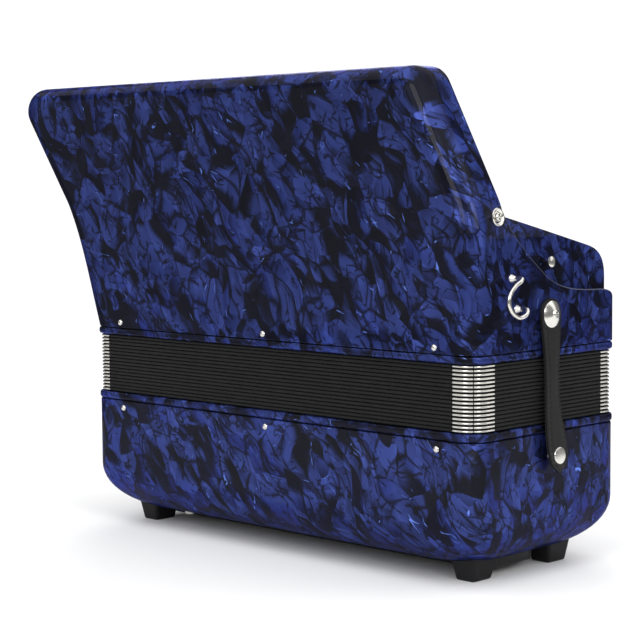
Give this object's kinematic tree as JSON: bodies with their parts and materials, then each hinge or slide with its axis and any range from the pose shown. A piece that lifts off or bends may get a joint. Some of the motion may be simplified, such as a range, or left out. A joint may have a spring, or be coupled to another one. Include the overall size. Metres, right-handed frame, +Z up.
{
  "type": "button accordion",
  "caption": "Full-size chromatic button accordion in blue pearl, bellows closed, standing on its bass feet, with leaning fingerboard, closing straps and strap loops.",
  "frame": {"origin": "on the floor under the middle of the instrument's bounding box, as it stands on its four bass feet", "axes": "+Z up along the bellows from the bass side to the treble side, +Y towards the player (the flat back panel), +X the way the fingerboard leans"},
  "size_m": [0.597, 0.1966, 0.4175],
  "materials": {
    "pearl_celluloid": "polished pearl celluloid sheet over a wooden casing, blue with black",
    "bellows_cloth": "black woven bellows tape on card",
    "chrome": "polished nickel-chrome plate",
    "leather": "black stitched leather",
    "rubber": "matt black rubber",
    "black_plate": "black plastic sheet",
    "button_resin": "polished white button resin",
    "spruce": "planed spruce, unvarnished"
  },
  "bodies": {
    "bass_side": {"bass_casing": "pearl_celluloid", "bass_frame": "pearl_celluloid", "bass_button_plate": "black_plate", "bass_soundboard": "spruce", "bass_reed_block": "spruce", "foot_near_back": "rubber", "foot_near_front": "rubber", "foot_far_back": "rubber", "foot_far_front": "rubber", "hand_strap": "leather", "snap_stud_near": "chrome", "snap_stud_far": "chrome"},
    "treble_side": {"treble_casing": "pearl_celluloid", "treble_frame": "pearl_celluloid", "button_board": "black_plate", "grille_cover": "pearl_celluloid", "treble_soundboard": "spruce", "treble_reed_block": "spruce", "strap_screw_near": "chrome", "strap_screw_far": "chrome", "strap_loop_near": "chrome", "strap_loop_far": "chrome"},
    "bellows_fold_01": {"bellows_fold_01": "bellows_cloth"},
    "bellows_fold_02": {"bellows_fold_02": "bellows_cloth"},
    "bellows_fold_03": {"bellows_fold_03": "bellows_cloth"},
    "bellows_fold_04": {"bellows_fold_04": "bellows_cloth"},
    "bellows_fold_05": {"bellows_fold_05": "bellows_cloth"},
    "bellows_fold_06": {"bellows_fold_06": "bellows_cloth"},
    "bellows_fold_07": {"bellows_fold_07": "bellows_cloth"},
    "bellows_fold_08": {"bellows_fold_08": "bellows_cloth"},
    "bellows_fold_09": {"bellows_fold_09": "bellows_cloth"},
    "bellows_fold_10": {"bellows_fold_10": "bellows_cloth"},
    "bellows_fold_11": {"bellows_fold_11": "bellows_cloth"},
    "bellows_fold_12": {"bellows_fold_12": "bellows_cloth"},
    "bellows_fold_13": {"bellows_fold_13": "bellows_cloth"},
    "bellows_fold_14": {"bellows_fold_14": "bellows_cloth"},
    "bellows_fold_15": {"bellows_fold_15": "bellows_cloth"},
    "bellows_fold_16": {"bellows_fold_16": "bellows_cloth"},
    "bellows_fold_17": {"bellows_fold_17": "bellows_cloth"},
    "bass_button_row_1": {"bass_button_row_1": "button_resin"},
    "bass_button_row_2": {"bass_button_row_2": "button_resin"},
    "bass_button_row_3": {"bass_button_row_3": "button_resin"},
    "bass_button_row_4": {"bass_button_row_4": "button_resin"},
    "bass_button_row_5": {"bass_button_row_5": "button_resin"},
    "bass_button_row_6": {"bass_button_row_6": "button_resin"},
    "treble_button_row_1": {"treble_button_row_1": "button_resin"},
    "treble_button_row_2": {"treble_button_row_2": "button_resin"},
    "treble_button_row_3": {"treble_button_row_3": "button_resin"},
    "treble_button_row_4": {"treble_button_row_4": "button_resin"},
    "treble_button_row_5": {"treble_button_row_5": "button_resin"},
    "register_switch_1": {"register_switch_1": "black_plate"},
    "register_switch_2": {"register_switch_2": "black_plate"},
    "register_switch_3": {"register_switch_3": "black_plate"},
    "register_switch_4": {"register_switch_4": "black_plate"},
    "closing_strap_near": {"closing_strap_near": "leather"},
    "closing_strap_tail_near": {"closing_strap_tail_near": "leather"},
    "closing_strap_far": {"closing_strap_far": "leather"},
    "closing_strap_tail_far": {"closing_strap_tail_far": "leather"},
    "air_button": {"air_button": "button_resin"},
    "strap_wheel": {"strap_wheel": "chrome"}
  },
  "joints": [
    {"name": "bellows_open", "type": "slide", "parent": "bass_side", "child": "treble_side", "axis": [0, 0, 1], "range_m": [0, 0.32]},
    {"name": "fold_01_rise", "type": "slide", "parent": "bass_side", "child": "bellows_fold_01", "axis": [0, 0, 1], "range_m": [0, 0.00146]},
    {"name": "fold_02_rise", "type": "slide", "parent": "bass_side", "child": "bellows_fold_02", "axis": [0, 0, 1], "range_m": [0, 0.00786]},
    {"name": "fold_03_rise", "type": "slide", "parent": "bass_side", "child": "bellows_fold_03", "axis": [0, 0, 1], "range_m": [0, 0.01963]},
    {"name": "fold_04_rise", "type": "slide", "parent": "bass_side", "child": "bellows_fold_04", "axis": [0, 0, 1], "range_m": [0, 0.03599]},
    {"name": "fold_05_rise", "type": "slide", "parent": "bass_side", "child": "bellows_fold_05", "axis": [0, 0, 1], "range_m": [0, 0.0562]},
    {"name": "fold_06_rise", "type": "slide", "parent": "bass_side", "child": "bellows_fold_06", "axis": [0, 0, 1], "range_m": [0, 0.07947]},
    {"name": "fold_07_rise", "type": "slide", "parent": "bass_side", "child": "bellows_fold_07", "axis": [0, 0, 1], "range_m": [0, 0.10505]},
    {"name": "fold_08_rise", "type": "slide", "parent": "bass_side", "child": "bellows_fold_08", "axis": [0, 0, 1], "range_m": [0, 0.13217]},
    {"name": "fold_09_rise", "type": "slide", "parent": "bass_side", "child": "bellows_fold_09", "axis": [0, 0, 1], "range_m": [0, 0.16006]},
    {"name": "fold_10_rise", "type": "slide", "parent": "bass_side", "child": "bellows_fold_10", "axis": [0, 0, 1], "range_m": [0, 0.18797]},
    {"name": "fold_11_rise", "type": "slide", "parent": "bass_side", "child": "bellows_fold_11", "axis": [0, 0, 1], "range_m": [0, 0.21512]},
    {"name": "fold_12_rise", "type": "slide", "parent": "bass_side", "child": "bellows_fold_12", "axis": [0, 0, 1], "range_m": [0, 0.24076]},
    {"name": "fold_13_rise", "type": "slide", "parent": "bass_side", "child": "bellows_fold_13", "axis": [0, 0, 1], "range_m": [0, 0.26412]},
    {"name": "fold_14_rise", "type": "slide", "parent": "bass_side", "child": "bellows_fold_14", "axis": [0, 0, 1], "range_m": [0, 0.28443]},
    {"name": "fold_15_rise", "type": "slide", "parent": "bass_side", "child": "bellows_fold_15", "axis": [0, 0, 1], "range_m": [0, 0.30093]},
    {"name": "fold_16_rise", "type": "slide", "parent": "bass_side", "child": "bellows_fold_16", "axis": [0, 0, 1], "range_m": [0, 0.31285]},
    {"name": "fold_17_rise", "type": "slide", "parent": "bass_side", "child": "bellows_fold_17", "axis": [0, 0, 1], "range_m": [0, 0.31943]},
    {"name": "bass_row_1_press", "type": "slide", "parent": "bass_side", "child": "bass_button_row_1", "axis": [0, 0, 1], "range_m": [0, 0.004], "stiffness_N_per_m": 400},
    {"name": "bass_row_2_press", "type": "slide", "parent": "bass_side", "child": "bass_button_row_2", "axis": [0, 0, 1], "range_m": [0, 0.004], "stiffness_N_per_m": 400},
    {"name": "bass_row_3_press", "type": "slide", "parent": "bass_side", "child": "bass_button_row_3", "axis": [0, 0, 1], "range_m": [0, 0.004], "stiffness_N_per_m": 400},
    {"name": "bass_row_4_press", "type": "slide", "parent": "bass_side", "child": "bass_button_row_4", "axis": [0, 0, 1], "range_m": [0, 0.004], "stiffness_N_per_m": 400},
    {"name": "bass_row_5_press", "type": "slide", "parent": "bass_side", "child": "bass_button_row_5", "axis": [0, 0, 1], "range_m": [0, 0.004], "stiffness_N_per_m": 400},
    {"name": "bass_row_6_press", "type": "slide", "parent": "bass_side", "child": "bass_button_row_6", "axis": [0, 0, 1], "range_m": [0, 0.004], "stiffness_N_per_m": 400},
    {"name": "treble_row_1_press", "type": "slide", "parent": "treble_side", "child": "treble_button_row_1", "axis": [0, 1, 0], "range_m": [0, 0.004], "stiffness_N_per_m": 400},
    {"name": "treble_row_2_press", "type": "slide", "parent": "treble_side", "child": "treble_button_row_2", "axis": [0, 1, 0], "range_m": [0, 0.004], "stiffness_N_per_m": 400},
    {"name": "treble_row_3_press", "type": "slide", "parent": "treble_side", "child": "treble_button_row_3", "axis": [0, 1, 0], "range_m": [0, 0.004], "stiffness_N_per_m": 400},
    {"name": "treble_row_4_press", "type": "slide", "parent": "treble_side", "child": "treble_button_row_4", "axis": [0, 1, 0], "range_m": [0, 0.004], "stiffness_N_per_m": 400},
    {"name": "treble_row_5_press", "type": "slide", "parent": "treble_side", "child": "treble_button_row_5", "axis": [0, 1, 0], "range_m": [0, 0.004], "stiffness_N_per_m": 400},
    {"name": "air_button_press", "type": "slide", "parent": "bass_side", "child": "air_button", "axis": [0, 0, 1], "range_m": [0, 0.005], "stiffness_N_per_m": 300},
    {"name": "strap_wheel_turn", "type": "hinge", "parent": "bass_side", "child": "strap_wheel", "pos_m": [0.19611, 0.009, 0.062], "axis": [1, 0, 0], "range_deg": [-360, 360]},
    {"name": "register_1_rock", "type": "hinge", "parent": "treble_side", "child": "register_switch_1", "pos_m": [-0.10589, 0.042, 0.29455], "axis": [1, 0, 0], "range_deg": [-7, 7]},
    {"name": "register_2_rock", "type": "hinge", "parent": "treble_side", "child": "register_switch_2", "pos_m": [-0.05789, 0.042, 0.29455], "axis": [1, 0, 0], "range_deg": [-7, 7]},
    {"name": "register_3_rock", "type": "hinge", "parent": "treble_side", "child": "register_switch_3", "pos_m": [-0.00989, 0.042, 0.29455], "axis": [1, 0, 0], "range_deg": [-7, 7]},
    {"name": "register_4_rock", "type": "hinge", "parent": "treble_side", "child": "register_switch_4", "pos_m": [0.03811, 0.042, 0.29455], "axis": [1, 0, 0], "range_deg": [-7, 7]},
    {"name": "strap_near_swivel", "type": "hinge", "parent": "treble_side", "child": "closing_strap_near", "pos_m": [-0.28879, 0.004, 0.2164], "axis": [1, 0, 0], "range_deg": [-60, 60]},
    {"name": "strap_near_lift", "type": "hinge", "parent": "closing_strap_near", "child": "closing_strap_tail_near", "pos_m": [-0.29059, 0.004, 0.1986], "axis": [0, 1, 0], "range_deg": [0, 75]},
    {"name": "strap_far_swivel", "type": "hinge", "parent": "treble_side", "child": "closing_strap_far", "pos_m": [0.20771, 0.004, 0.2164], "axis": [1, 0, 0], "range_deg": [-60, 60]},
    {"name": "strap_far_lift", "type": "hinge", "parent": "closing_strap_far", "child": "closing_strap_tail_far", "pos_m": [0.20951, 0.004, 0.1986], "axis": [0, -1, 0], "range_deg": [0, 75]}
  ],
  "couplings": [
    {"joint": "fold_01_rise", "follows": "bellows_open", "ratio": 0.00299},
    {"joint": "fold_02_rise", "follows": "bellows_open", "ratio": 0.023},
    {"joint": "fold_03_rise", "follows": "bellows_open", "ratio": 0.05978},
    {"joint": "fold_04_rise", "follows": "bellows_open", "ratio": 0.11092},
    {"joint": "fold_05_rise", "follows": "bellows_open", "ratio": 0.17405},
    {"joint": "fold_06_rise", "follows": "bellows_open", "ratio": 0.24678},
    {"joint": "fold_07_rise", "follows": "bellows_open", "ratio": 0.32671},
    {"joint": "fold_08_rise", "follows": "bellows_open", "ratio": 0.41146},
    {"joint": "fold_09_rise", "follows": "bellows_open", "ratio": 0.49863},
    {"joint": "fold_10_rise", "follows": "bellows_open", "ratio": 0.58584},
    {"joint": "fold_11_rise", "follows": "bellows_open", "ratio": 0.6707},
    {"joint": "fold_12_rise", "follows": "bellows_open", "ratio": 0.75082},
    {"joint": "fold_13_rise", "follows": "bellows_open", "ratio": 0.82381},
    {"joint": "fold_14_rise", "follows": "bellows_open", "ratio": 0.88727},
    {"joint": "fold_15_rise", "follows": "bellows_open", "ratio": 0.93883},
    {"joint": "fold_16_rise", "follows": "bellows_open", "ratio": 0.97609},
    {"joint": "fold_17_rise", "follows": "bellows_open", "ratio": 0.99666}
  ]
}
